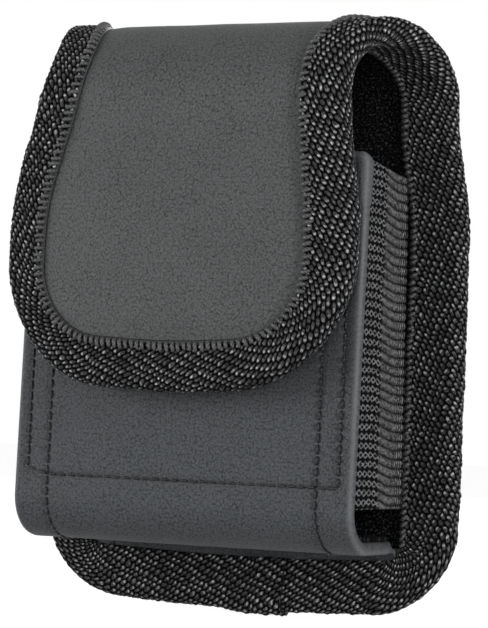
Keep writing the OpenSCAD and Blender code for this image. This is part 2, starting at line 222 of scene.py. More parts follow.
def loops(rows, cols):
    """Quads between rows of closed sections, and a face over each end."""
    r, c = np.arange(rows - 1)[:, None] * cols, np.arange(cols)[None, :]
    n = (c + 1) % cols
    quads = np.stack([r + c, r + n, r + cols + n, r + cols + c], -1).reshape(-1, 4).tolist()
    return quads + [list(range(cols))[::-1], list(range((rows - 1) * cols, rows * cols))]


def shell(name, top, bottom, material, cloth):
    """A closed sheet between two grids of points, the top one outside, that share a grid of
    cloth coordinates."""
    rows, cols = top.shape[:2]
    at = np.arange(rows * cols).reshape(rows, cols)

    def quads(g):
        return np.stack([g[:-1, :-1], g[:-1, 1:], g[1:, 1:], g[1:, :-1]], -1).reshape(-1, 4)

    rim = np.concatenate([at[0, :], at[1:, -1], at[-1, -2::-1], at[-2:0:-1, 0]])
    nxt = np.roll(rim, -1)
    low = rows * cols
    side = np.stack([rim, rim + low, nxt + low, nxt], -1)
    faces = np.concatenate([quads(at), quads(at)[:, ::-1] + low, side])
    points = np.concatenate([top.reshape(-1, 3), bottom.reshape(-1, 3)])
    return make(name, points, faces.tolist(), material, np.tile(cloth.reshape(-1, 3), (2, 1)))


def tube(points, up, radius, sides=6):
    """A closed round thread along a line of points, with up square to it."""
    run = np.gradient(points, axis=0)
    run /= np.linalg.norm(run, axis=1, keepdims=True)
    side = np.cross(run, up)
    side /= np.linalg.norm(side, axis=1, keepdims=True)
    up = np.cross(side, run)
    a = np.linspace(0, 2 * np.pi, sides, endpoint=False)
    radius = np.broadcast_to(radius, len(points))[:, None, None]
    ring = np.cos(a)[None, :, None] * side[:, None] + np.sin(a)[None, :, None] * up[:, None]
    return points[:, None] + radius * ring


TWIST_STEP = 7.3  # by how much the twist shifts from thread to thread


def joined(name, rings, material):
    """One piece from several closed tubes, each an array of sections."""
    points, faces, start, cloth = [], [], 0, []
    for k, ring in enumerate(rings):
        rows, cols = ring.shape[:2]
        points.append(ring.reshape(-1, 3))
        faces += [[v + start for v in face] for face in loops(rows, cols)]
        start += rows * cols
        twist = distances(ring.mean(1))[:, None] + TWIST_STEP * k
        grid = np.stack(np.broadcast_arrays(twist, np.arange(cols)[None, :] / cols, 0.0), -1)
        cloth.append(grid.reshape(-1, 3))
    return make(name, np.concatenate(points), faces, material, np.concatenate(cloth))


# ---- Materials ----

MIX_FACTOR, MIX_A, MIX_B, MIX_RESULT = 0, 6, 7, 2  # the colour sockets of a Mix node


def graph(name):
    """A new material and its emptied node tree."""
    material = bpy.data.materials.new(name)
    material.use_nodes = True
    tree = material.node_tree
    tree.nodes.clear()
    return material, tree


def add(tree, kind, sockets=(), **settings):
    """A node with its settings, and its sockets set to a value or linked to an output."""
    node = tree.nodes.new(kind)
    for key, value in settings.items():
        setattr(node, key, value)
    for key, value in dict(sockets).items():
        if isinstance(value, bpy.types.NodeSocket):
            tree.links.new(value, node.inputs[key])
        else:
            node.inputs[key].default_value = value
    return node


def attribute(tree, name, output):
    return add(tree, "ShaderNodeAttribute", attribute_name=name).outputs[output]


def maths(tree, operation, *values):
    return add(tree, "ShaderNodeMath", enumerate(values), operation=operation).outputs[0]


def plus(tree, a, b):
    return maths(tree, "ADD", a, b)


def minus(tree, a, b):
    return maths(tree, "SUBTRACT", a, b)


def times(tree, a, b):
    return maths(tree, "MULTIPLY", a, b)


def ranged(tree, value, a, b, c, d):
    """A value from a to b taken to c to d, and kept within them."""
    sockets = {"Value": value, "From Min": a, "From Max": b, "To Min": c, "To Max": d}
    return add(tree, "ShaderNodeMapRange", sockets).outputs[0]


def coloured(tree, factor, dark, light):
    """From the first colour to the second one; each may be an output."""
    dark, light = (c if isinstance(c, bpy.types.NodeSocket) else (*c, 1) for c in (dark, light))
    return add(tree, "ShaderNodeMix", {MIX_FACTOR: factor, MIX_A: dark, MIX_B: light},
               data_type="RGBA").outputs[MIX_RESULT]


def scaled(tree, vector, scale):
    return add(tree, "ShaderNodeMapping", {"Vector": vector, "Scale": scale}).outputs[0]


def cloudy(tree, vector, scale, detail=3.0, rough=0.55):
    sockets = {"Vector": vector, "Scale": scale, "Detail": detail, "Roughness": rough}
    return add(tree, "ShaderNodeTexNoise", sockets).outputs[0]


def finished(material, tree, colour, height, strength, depth, roughness, specular=0.5):
    """The material's shader and output, with a bump of the given depth in mm."""
    bump = add(tree, "ShaderNodeBump",
               {"Strength": strength, "Distance": depth * MM, "Height": height})
    shader = add(tree, "ShaderNodeBsdfPrincipled", {
        "Base Color": colour, "Roughness": roughness, "Normal": bump.outputs[0],
        "Specular IOR Level": specular})
    add(tree, "ShaderNodeOutputMaterial", {"Surface": shader.outputs[0]})
    return material


PAINTED_EDGE_HIGHLIGHT = (0.17, 0.175, 0.175)  # painted highlight: a lighter leatherette colour along the pocket's rim and rounded side edges


def leather_material(name, dark, light):
    """Grained leatherette: small cells between fine creases, slightly uneven in tone."""
    material, tree = graph(name)
    at = attribute(tree, "cloth", "Vector")
    warp = add(tree, "ShaderNodeTexNoise", {"Vector": at, "Scale": 0.9, "Detail": 2.0})
    bent = add(tree, "ShaderNodeVectorMath", {0: warp.outputs["Color"], 1: (1.1, 1.1, 0.0)},
               operation="MULTIPLY").outputs[0]
    moved = add(tree, "ShaderNodeVectorMath", {0: at, 1: bent}, operation="ADD").outputs[0]
    cells, small = (
        add(tree, "ShaderNodeTexVoronoi", {"Vector": moved, "Scale": scale},
            feature="DISTANCE_TO_EDGE", voronoi_dimensions="2D").outputs["Distance"]
        for scale in (0.50, 1.02))
    fine = cloudy(tree, at, 1.8, 5.0, 0.7)
    middle = cloudy(tree, at, 0.8, 2.0)
    wide = cloudy(tree, at, 0.06, 2.0)
    faint = cloudy(tree, at, 0.16, 2.0)
    deep = minus(tree, 1.0, ranged(tree, cells, 0.0, 0.12, 0.0, 1.0))
    shallow = minus(tree, 1.0, ranged(tree, small, 0.0, 0.20, 0.0, 1.0))
    deep = times(tree, deep, ranged(tree, faint, 0.36, 0.60, 0.35, 1.0))
    crease = plus(tree, times(tree, deep, 0.42), times(tree, shallow, 0.45))
    crease = times(tree, crease, ranged(tree, middle, 0.38, 0.58, 0.2, 1.15))
    height = minus(tree, times(tree, fine, 0.7), times(tree, crease, 0.6))
    shade = plus(tree, times(tree, fine, 3.6), times(tree, middle, 0.6))
    shade = plus(tree, shade, times(tree, wide, 0.3))
    shade = minus(tree, shade, plus(tree, crease, 1.44))
    # A lighter colour painted along the pocket's edges as a highlight; they are also made less
    # rough there
    painted_highlight = attribute(tree, "painted_highlight", "Fac")
    colour = coloured(tree, times(tree, painted_highlight, 0.6), coloured(tree, shade, dark, light), PAINTED_EDGE_HIGHLIGHT)
    roughness = minus(tree, ranged(tree, fine, 0.3, 0.7, 0.50, 0.62), times(tree, painted_highlight, 0.20))
    return finished(material, tree, colour, height, 0.8, 0.12, roughness, specular=0.12)


def split_phase(tree, value):
    """Whole part and fraction of a value."""
    return maths(tree, "FLOOR", value), maths(tree, "FRACT", value)


def hump(tree, fraction, power):
    """1 in the middle of a unit stretch and 0 at its ends, with a flatter top for more power."""
    off = minus(tree, times(tree, fraction, 2.0), 1.0)
    return minus(tree, 1.0, maths(tree, "POWER", maths(tree, "ABSOLUTE", off), power))


def woven_material(name, dark, light, painted_glint_colour, period, shift, lean=0.0):
    """Staggered beads of yarn: cloth.x runs along the yarns in mm, cloth.y counts the rows. The
    gaps between beads take a near-black painted shade, and some beads a painted glint.
    """
    material, tree = graph(name)
    at = attribute(tree, "cloth", "Vector")
    xyz = add(tree, "ShaderNodeSeparateXYZ", {0: at}).outputs
    row, across = split_phase(tree, xyz[1])
    along = plus(tree, maths(tree, "DIVIDE", xyz[0], period), times(tree, row, shift))
    along = plus(tree, along, times(tree, minus(tree, across, 0.5), lean))
    count, lengthwise = split_phase(tree, along)
    dome = minus(tree, plus(tree, hump(tree, across, 2.2), hump(tree, lengthwise, 2.6)), 1.0)
    bead = ranged(tree, dome, 0.15, 0.85, 0.0, 1.0)
    cell = add(tree, "ShaderNodeCombineXYZ", {0: count, 1: row}).outputs[0]
    chance = add(tree, "ShaderNodeTexWhiteNoise", {0: cell}).outputs[0]
    ply = plus(tree, times(tree, lengthwise, 0.35), times(tree, across, 1.5))
    ply = maths(tree, "ABSOLUTE", maths(tree, "SINE", times(tree, ply, 2 * np.pi)))
    fibres = cloudy(tree, scaled(tree, at, (1.7, 2.6, 1.0)), 1.0, 3.0, 0.8)
    gain = times(tree, ranged(tree, chance, 0.0, 1.0, 0.6, 1.1),
                 ranged(tree, fibres, 0.38, 0.62, 0.05, 1.3))
    gain = times(tree, gain, ranged(tree, ply, 0.1, 0.8, 0.15, 1.1))
    # The first colour is near-black painted shade in the gaps between the beads
    base = coloured(tree, times(tree, bead, gain), dark, light)
    # Painted glint: a light colour near one end of some beads, standing in for the yarn's sheen
    tip = maths(tree, "ABSOLUTE", times(tree, minus(tree, lengthwise, 0.66), 4.4))
    painted_glint = minus(tree, hump(tree, across, 1.6), maths(tree, "POWER", tip, 2.0))
    painted_glint = times(tree, ranged(tree, painted_glint, 0.3, 0.9, 0.0, 1.0),
                  ranged(tree, chance, 0.1, 0.9, 0.1, 1.0))
    painted_glint = times(tree, painted_glint, ranged(tree, fibres, 0.38, 0.60, 0.15, 1.0))
    colour = coloured(tree, painted_glint, base, painted_glint_colour)
    height = plus(tree, dome, times(tree, fibres, 0.7))
    height = plus(tree, height, times(tree, ply, 0.35))
    gloss = ranged(tree, bead, 0.0, 1.0, 1.0, 0.38)
    return finished(material, tree, colour, height, 1.0, 0.35, gloss, specular=0.06)


def knit_material(name, dark, light):
    """Ribbed elastic: cloth.x runs across in mm, cloth.y counts the ribs and cloth.z goes
    from the front to the back edge. Crossed stitches in front, plain ribs and an edge band."""
    material, tree = graph(name)
    at = attribute(tree, "cloth", "Vector")
    xyz = add(tree, "ShaderNodeSeparateXYZ", {0: at}).outputs
    _, rise = split_phase(tree, xyz[1])
    _, cross = split_phase(tree, maths(tree, "DIVIDE", xyz[0], STITCH))
    slope = ranged(tree, rise, 0.18, 0.82, 0.0, 1.0)
    one = maths(tree, "ABSOLUTE", minus(tree, cross, slope))
    two = maths(tree, "ABSOLUTE", minus(tree, plus(tree, cross, slope), 1.0))
    stitch = ranged(tree, maths(tree, "MINIMUM", one, two), 0.06, 0.24, 1.0, 0.0)
    ridge = hump(tree, rise, 2.0)
    stitch = times(tree, stitch, ranged(tree, ridge, 0.25, 0.65, 0.0, 1.0))
    plain = ranged(tree, ridge, 0.0, 1.0, 0.02, 0.60)
    cord = maths(tree, "ABSOLUTE", maths(tree, "SINE", times(tree, xyz[0], 2.4)))
    edge_band = times(tree, ridge, ranged(tree, cord, 0.3, 0.9, 0.1, 1.0))
    front = ranged(tree, xyz[2], KNIT_TO, KNIT_TO + 0.04, 1.0, 0.0)
    hem = ranged(tree, xyz[2], 0.78, 0.83, 0.0, 1.0)
    tone = plus(tree, times(tree, front, stitch), times(tree, minus(tree, 1.0, front), plain))
    tone = plus(tree, times(tree, tone, minus(tree, 1.0, hem)), times(tree, hem, edge_band))
    fibres = cloudy(tree, scaled(tree, at, (0.8, 3.2, 1.0)), 1.0, 3.0, 0.8)
    shade = times(tree, tone, ranged(tree, fibres, 0.36, 0.64, 0.05, 1.5))
    colour = coloured(tree, shade, dark, light)
    height = plus(tree, tone, times(tree, fibres, 0.4))
    gloss = ranged(tree, tone, 0.0, 1.0, 1.0, 0.42)
    return finished(material, tree, colour, height, 0.8, 0.22, gloss, specular=0.06)


def pile_material(name, dark, light, scale):
    """Brushed pile: matt and dark, with small painted glints on its tufts."""
    material, tree = graph(name)
    at = attribute(tree, "cloth", "Vector")
    tufts = cloudy(tree, at, scale, 4.0, 0.7)
    painted_glint_specks = ranged(tree, tufts, 0.52, 0.72, 0.0, 1.0)
    colour = coloured(tree, painted_glint_specks, dark, light)
    return finished(material, tree, colour, tufts, 1.0, 0.6, 0.85, specular=0.02)


LEATHER = leather_material("leatherette_grain", (0.022, 0.0235, 0.0245), (0.100, 0.103, 0.104))
# The pocket's copy of the leatherette, darker and a little bluer: painted shade on the pocket
SHADED_POCKET_LEATHER = leather_material("pocket_leatherette_shaded", (0.018, 0.0195, 0.021),
                                  (0.082, 0.087, 0.093))
# The elastic's ribs, their fall and its crossed stitches, which end on the way to the back
RIB, RIB_DROP, STITCH, KNIT_TO, HEM_FROM = 2.1, 1.9, 2.9, 0.46, 0.80
# Width of a row of beads, length of its repeat, step to the next row, lean of each bead's ends
# and rows crossed per mm along the tape, since the rows run slanting over it
ROW, FLOAT, SHIFT, BEAD_LEAN, SLANT = 1.16, 1.9, 0.60, 0.15, 0.48
WEB_ROW, WEB_FLOAT, WEB_SHIFT = 1.25, 3.0, 0.5  # the same of the belt loop's webbing
# Woven colours: painted shade in the gaps between beads, the yarn, and a painted glint
TAPE = woven_material("tape_weave", (0.0008, 0.0008, 0.0010), (0.128, 0.128, 0.130),
                      (0.72, 0.72, 0.73), FLOAT, SHIFT, BEAD_LEAN)
ELASTIC = knit_material("elastic_ribs", (0.0015, 0.0015, 0.0018), (0.235, 0.235, 0.240))
WEBBING = woven_material("webbing_weave", (0.0010, 0.0010, 0.0012), (0.085, 0.085, 0.088),
                         (0.20, 0.20, 0.21), WEB_FLOAT, WEB_SHIFT)
PLUSH = pile_material("plush_pile", (0.003, 0.003, 0.0035), (0.095, 0.095, 0.098), 1.6)
PILE = pile_material("loop_pile", (0.004, 0.004, 0.0045), (0.090, 0.090, 0.093), 2.4)


def thread_material(name, dark, light):
    """Twisted thread, with cloth.x along it."""
    material, tree = graph(name)
    at = attribute(tree, "cloth", "Vector")
    sockets = {"Vector": scaled(tree, at, (1.0, 2.0, 1.0)), "Scale": 1.1, "Distortion": 0.6}
    twist = add(tree, "ShaderNodeTexWave", sockets, wave_type="BANDS",
                bands_direction="DIAGONAL").outputs["Fac"]
    colour = coloured(tree, ranged(tree, twist, 0.0, 1.0, 0.3, 1.0), dark, light)
    return finished(material, tree, colour, twist, 0.7, 0.10, 0.42, specular=0.4)


THREAD = thread_material("black_thread", (0.0015, 0.0015, 0.0018), (0.010, 0.010, 0.011))
TAPE_THREAD = thread_material("tape_thread", (0.003, 0.003, 0.0035), (0.085, 0.085, 0.088))


FIBRES_PER_M = 900.0


def board_material(name):
    """Grey-brown fibreboard."""
    material, tree = graph(name)
    at = add(tree, "ShaderNodeTexCoord").outputs["Object"]
    grain = cloudy(tree, at, FIBRES_PER_M, 4.0)
    colour = coloured(tree, grain, (0.10, 0.09, 0.075), (0.19, 0.17, 0.145))
    return finished(material, tree, colour, grain, 0.3, 0.1, 0.8)


# ---- Tape ----

RELIEF = 0.50  # height of the yarns above the gaps
# Points across a row of beads, their pitch along the tape, and the inset it is measured at
PER_ROW, PITCH, REF = 4, 0.43, 5.0
# Stitches on the lining side start at this value of t, past the pocket's flange
PAST_FLANGE = 1.8
LAP_FROM, LAP_TO, LAP_RUN, LAP_RISE, LAP_GAP = -7.0, 12.0, 9.0, 0.75, 0.15


def section():
    """The tape's outer face across its width: width so far, inset, height and normal."""
    a = np.linspace(np.pi / 2, -np.pi / 2, 200)
    n = TAPE_N - 0.12
    d = np.concatenate([[TAPE_OUT], TAPE_FOLD * (1 - np.cos(a)), [TAPE_IN]])
    h = np.concatenate([[n], n * np.sin(a), [-n]])
    far = distances(np.stack([d, h], 1))
    count = int(round(far[-1] / ROW)) * PER_ROW
    w = np.linspace(0, far[-1], count + 1)
    d, h = np.interp(w, far, d), np.interp(w, far, h)
    td, tn = np.gradient(d), np.gradient(h)
    length = np.hypot(td, tn)
    return w, d, h, tn / length, -td / length


SECTION = section()
WIDTH = SECTION[0][-1]
# Inset and height of the tape's inner face, close round the edge of the strip
SLOT_D = np.array([TAPE_IN - 0.05, 7.0, 2.4, 1.6, 1.4, 1.6, 2.4, 6.5, TAPE_OUT - 0.05])
SLOT_N = np.array([-2.38, -2.38, -2.36, -1.5, 0.0, 1.5, 2.36, 2.38, 2.38])


def weave(a, w, calm, slant):
    """Height from 0 to 1 of the staggered beads of yarn at a along the tape and w across it,
    and the cloth coordinates there. calm is 0 where the beads must keep strictly in step."""
    v = w / WIDTH * round(WIDTH / ROW)
    a = a + calm * (0.35 * noise(a / 5.0, v / 2.0, 3) + 0.28 * noise(a / 1.7, v / 0.9, 9))
    r = v - slant * a + 0.28 * calm * noise(a / 2.6, v / 1.7, 13)
    i = np.floor(r + 1e-6)
    p = a / FLOAT + SHIFT * i + BEAD_LEAN * (r - i - 0.5)
    f = p - np.floor(p)
    dome = 1 - np.abs(2 * np.clip(r - i, 0, 1) - 1) ** 2.2 - np.abs(2 * f - 1) ** 2.6
    gain = 1 + 0.25 * calm * lattice(np.floor(p), i, 5)
    return np.sqrt(np.maximum(dome, 0)) * gain, a, r


def tape(name, half, t, a, slant, stretch=1.0, raised=0.0):
    """The folded tape at t and at the distance a along a half's outline, closed, and woven
    where it shows."""
    w, d, n, nd, nn = SECTION
    a2, w2 = a[:, None], w[None, :]
    calm = smooth((half["length"] - np.abs(a2)) / 6)
    high, along, row = weave(a2 * half["way"] * stretch, w2, calm, slant)
    rim = np.minimum(w2, WIDTH - w2)
    e = np.clip(1 - rim / 1.0, 0, 1)
    wave = 0.16 * noise(a2 / 8, w2 / 6, 11) + 0.12 * noise(a2 / 3, w2 / 4, 12)
    h = RELIEF * (high - 0.5) - 0.55 * (1 - np.sqrt(1 - e * e)) + calm * wave
    h = h + np.broadcast_to(raised, a.shape)[:, None]
    stray = 0.32 * calm * noise(a2 / 7.0, np.sign(w2 - WIDTH / 2) * 3 + 0.5, 7)
    stray = stray * smooth(1 - rim / 3.5)
    s, u = edge(half, t[:, None], d + nd * h + stray)
    outer = on_strip(s, u, n + nn * h)
    s, u = edge(half, t[:, None], SLOT_D + 0 * t[:, None])
    inner = on_strip(s, u, SLOT_N[None, :])
    points = np.concatenate([outer, inner], 1)
    rows, cols = points.shape[:2]
    cloth = np.zeros((rows, cols, 3))
    cloth[:, :len(w), 0], cloth[:, :len(w), 1] = along, row
    return make(name, points, loops(rows, cols), TAPE, cloth)


def whipping(half, face, keep_from=0.0, pitch=1.5):
    """The short stitches that hold the tape's inner edge down on one face, as closed tubes.
    keep_from leaves out the ones nearer to the middle of the half's end, in values of t."""
    inset, reach = (TAPE_OUT, 2.2) if face > 0 else (TAPE_IN, 1.7)
    t, _ = spaced(half, inset, pitch)
    lean = 0.3 * np.gradient(t)[:, None]
    lean, t = lean[np.abs(t) >= keep_from], t[np.abs(t) >= keep_from, None]
    k = np.arange(len(t))[:, None]
    q = np.linspace(0, 1, 7)[None, :]
    arch = np.sin(np.pi * q) ** 0.5
    reach = reach + 0.3 * lattice(k, 0 * k, 21 + face)
    d = inset + 0.5 - reach * q + 0.12 * noise(k / 6.0, 0.5, 7)
    n = mix(CORE_T / 2 + 0.25, TAPE_N + 0.10, smooth(q * 3.0)) + 0.35 * (arch - 0.6)
    s, u = edge(half, t + lean * (q - 0.5 + 0.4 * lattice(k, 0 * k, 33)), d)
    low, high = on_strip(s, u, face * n), on_strip(s, u, face * (n + 1))
    fat = 0.50 * (0.50 + 0.50 * arch[0])
    return [tube(low[j], high[j] - low[j], fat * (1 + 0.1 * np.sin(7.0 * j)), 7)
            for j in range(len(low))]


def lock_and_shade_thread(half, face, keep_from=0.0):
    """A lock thread under the short stitches along the tape's inner edge, thick and dark so that
    it is also painted shade in the gaps between them.
    """
    inset = (TAPE_OUT if face > 0 else TAPE_IN) + 0.1
    t, _ = spaced(half, inset, 1.0)
    runs = [t] if keep_from == 0 else [t[t < -keep_from], t[t > keep_from]]
    rings = []
    for t in runs:
        s, u = edge(half, t, inset + 0 * t)
        low, high = (on_strip(s, u, face * (CORE_T / 2 + 0.15 + k)) for k in (0, 1))
        rings.append(tube(low, high - low, 0.62, 8))
    return rings


def bend_back(piece):
    """Bakes the placement into the mesh of a piece that runs from the back panel round to the
    middle of the fold.
    """
    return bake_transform(piece)


def bend_flap(piece):
    """Bakes the placement into the mesh of a piece that runs from the middle of the fold down to
    the flap.
    """
    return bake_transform(piece)


t, a = spaced(BACK, REF, PITCH)
t_flap, a_flap = spaced(FLAP, REF, PITCH)
BACK["length"], FLAP["length"] = a[-1], a_flap[-1]
# Whole beads and rows over the length, so that the halves meet in step
beads = round((a[-1] + a_flap[-1]) / FLOAT)
slant = 5 * round(SLANT * beads * FLOAT / 5) / (beads * FLOAT)
back_tape = tape("back_tape", BACK, t, a, slant)
flap_tape = tape("flap_tape", FLAP, t_flap, a_flap, slant, (beads * FLOAT - a[-1]) / a_flap[-1])

# The tape's end laps over its start under the back panel
on = (a > LAP_FROM) & (a < LAP_TO)
lap_a, lap_t = a[on], t[on]
lap = tape("back_tape_lap", BACK, lap_t, lap_a, slant,
           raised=LAP_RISE * smooth((lap_a - LAP_FROM) / LAP_RUN) + LAP_GAP)

# On the lining side no stitches show along the foot, where the pocket's flange is sewn in
back_whip = joined("back_tape_stitching",
                   whipping(BACK, 1) + whipping(BACK, -1, PAST_FLANGE), TAPE_THREAD)
flap_whip = joined("flap_tape_stitching", whipping(FLAP, 1) + whipping(FLAP, -1), TAPE_THREAD)
# Lock threads, thick and dark, which are also painted shade in the gaps between the short stitches
back_lock_and_shade = joined("back_tape_lock_and_shade_thread",
                   lock_and_shade_thread(BACK, 1) + lock_and_shade_thread(BACK, -1, PAST_FLANGE), THREAD)
flap_lock_and_shade = joined("flap_tape_lock_and_shade_thread", lock_and_shade_thread(FLAP, 1) + lock_and_shade_thread(FLAP, -1), THREAD)
for piece in (back_tape, back_whip, back_lock_and_shade):
    bend_back(piece)
for piece in (flap_tape, flap_whip, flap_lock_and_shade):
    bend_flap(piece)
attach(lap, "holster")
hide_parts("back_binding", "fold_binding")
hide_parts("flap_binding")


# ---- Leatherette, foam and lining of the strip ----

def rows_of(half, start, pitch):
    """Rows from near the end of a half to the middle of the fold, close together there."""
    far = half["reach"]
    s = np.concatenate([np.linspace(start, far - 0.4, int((far - start) / pitch)),
                        [far - 0.12, far - 0.03, far]])
    return half["end"] + half["way"] * s


def strip_shell(name, half, material, start, pitch, top, bottom):
    """A closed layer of a half of the strip, between two heights above its middle surface."""
    k = np.linspace(0, 3, 1500)
    so, uo = edge(half, k, CORE_INSET)
    order = np.argsort(so)
    s = rows_of(half, start, pitch)[:, None]
    wide = np.interp(s[:, 0], so[order], uo[order])[:, None]
    v = np.linspace(-1, 1, int(2 * wide.max() / pitch) + 1)[None, :]
    u = wide * v
    s = s + 0 * v
    return shell(name, on_strip(s, u, top(half, s, u)), on_strip(s, u, bottom(half, s, u)),
                 material, np.stack([u, s, 0 * s], -1))


def cover_top(half, s, u):
    """The leatherette's face, which swells between the tapes of the flap."""
    deep = inside(half, s, u)
    full = smooth((s - S_FOLD) / (S_FLAP - S_FOLD))
    puff = 0.75 * full * smooth((deep - TAPE_OUT + 0.5) / 7)
    drag = 0.10 * noise(u / 9, s / 14, 31) * smooth((deep - TAPE_OUT) / 6) * full
    return CORE_T / 2 + puff + drag


def foam_low(half, s, u):
    """The foam's lower face: above the board in the back panel, and lower from the fold on."""
    return mix(-0.08, -0.97, smooth((s - S_FOLD) / 3)) - pad(s, u)


PLUSH_AT = 1.0  # how far below the middle surface the lining starts


def plush_top(half, s, u):
    return -PLUSH_AT - pad(s, u)


def plush_low(half, s, u):
    deep = smooth((inside(half, s, u) - TAPE_IN) / 2)
    nap = 0.22 * noise(u / 1.3, s / 1.3, 41) + 0.12 * noise(u / 5, s / 5, 42)
    return -CORE_T / 2 - pad(s, u) - deep * np.abs(nap)


SHEET_FROM = CORE_INSET + 0.4  # the first row of points in from a half's end
back_leather = strip_shell("back_leather", BACK, LEATHER, SHEET_FROM, 1.3, cover_top, foam_low)
flap_leather = strip_shell("flap_leather", FLAP, LEATHER, SHEET_FROM, 1.0, cover_top, foam_low)
back_lining = strip_shell("back_lining_plush", BACK, PLUSH, LINING_FOOT, 1.0, plush_top, plush_low)
flap_lining = strip_shell("flap_lining_plush", FLAP, PLUSH, SHEET_FROM, 1.0, plush_top, plush_low)
for piece in (back_leather, back_lining):
    bend_back(piece)
for piece in (flap_leather, flap_lining):
    bend_flap(piece)
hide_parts("back_cover", "back_foam", "fold_cover")
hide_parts("flap_cover", "flap_foam", "fold_foam")
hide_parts("back_lining", "fold_lining")
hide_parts("flap_lining")


# ---- Pocket ----

FRONT_Y = INNER_Y - POCKET_D
RIM_CORNER, EDGE_R, EDGE_SQUARE = 3.0, 1.9, 2.5
# Where the ply turns to the full wall with its board, and where the lining starts
BOARD_FROM, BOARD_RUN, PLUSH_FROM = 9.5, 4.0, 14.5
# Rows of points near the rim, where the wall's edge is rounded
RIM_ROWS, RIM_FROM = np.array([1.2, 0.75, 0.4, 0.18, 0.05, 0.0]), 1.8
GROOVE_W, GROOVE_D = 0.55, 0.42
NOSE_C = np.array([FRONT_Y + LEAN * NOSE_R * (1 + np.sin(LEAN_ANGLE)) + NOSE_R * LEAN_COS,
                   POCKET_Z + NOSE_R])


def front_y(z):
    """Where the pocket's leaning front is at height z."""
    return FRONT_Y + LEAN * (z - POCKET_Z)


def pocket_path(pitch):
    """The pocket's outer face in side view, from the flange round to the rim, evenly spaced:
    distance, point and inward normal."""
    bend = np.linspace(0, np.pi / 2, 60)
    nose = np.linspace(1.5 * np.pi, np.pi - LEAN_ANGLE, 240)
    path = np.concatenate([
        [[INNER_Y, BASE_Z + FLANGE_LOW]],
        np.stack([INNER_Y - FLANGE_BEND + FLANGE_BEND * np.cos(bend),
                  POCKET_Z - FLANGE_BEND + FLANGE_BEND * np.sin(bend)], 1),
        np.stack([NOSE_C[0] + NOSE_R * np.cos(nose), NOSE_C[1] + NOSE_R * np.sin(nose)], 1),
        [[front_y(RIM_Z), RIM_Z]]])
    far = distances(path)
    at = np.concatenate([np.linspace(0, far[-1] - RIM_FROM, int(far[-1] / pitch)),
                         far[-1] - RIM_ROWS])
    y, z = np.interp(at, far, path[:, 0]), np.interp(at, far, path[:, 1])
    eps = 0.02
    after, before = np.minimum(at + eps, far[-1]), at - eps
    dy = np.interp(after, far, path[:, 0]) - np.interp(before, far, path[:, 0])
    dz = np.interp(after, far, path[:, 1]) - np.interp(before, far, path[:, 1])
    length = np.hypot(dy, dz)
    return at, y, z, dz / length, -dy / length


PATH = pocket_path(0.8)
PATH_END = PATH[0][-1]


def path_of_z(z):
    """Distance along the path where the pocket's front is at height z."""
    return PATH_END - (RIM_Z - z) / LEAN_COS


def pocket_half(far, y):
    """Half width of the pocket at a distance along its path."""
    full = smooth((INNER_Y - FLANGE_BEND - y) / (NARROW_FROM - FLANGE_BEND))
    wide = mix(FLANGE_W, POCKET_W, full) / 2
    drop = np.clip(RIM_CORNER - (PATH_END - far), 0, RIM_CORNER)
    return wide - (RIM_CORNER - np.sqrt(RIM_CORNER ** 2 - drop ** 2))


ROW_AT = path_of_z(STITCH_ROW_Z)  # the row of stitches across


def groove(x, far):
    """How deep the stitches pull the leather in."""
    depth = np.exp(-((np.abs(x) - STITCH_IN) / GROOVE_W) ** 2)
    upper = smooth(far - ROW_AT + 0.5)
    depth = np.maximum(depth, upper * np.exp(-((np.abs(x) - STITCH_OUT) / GROOVE_W) ** 2))
    within = smooth((STITCH_OUT - np.abs(x)) / 0.8 + 0.5)
    depth = np.maximum(depth, within * np.exp(-((far - ROW_AT) / GROOVE_W) ** 2))
    return GROOVE_D * depth


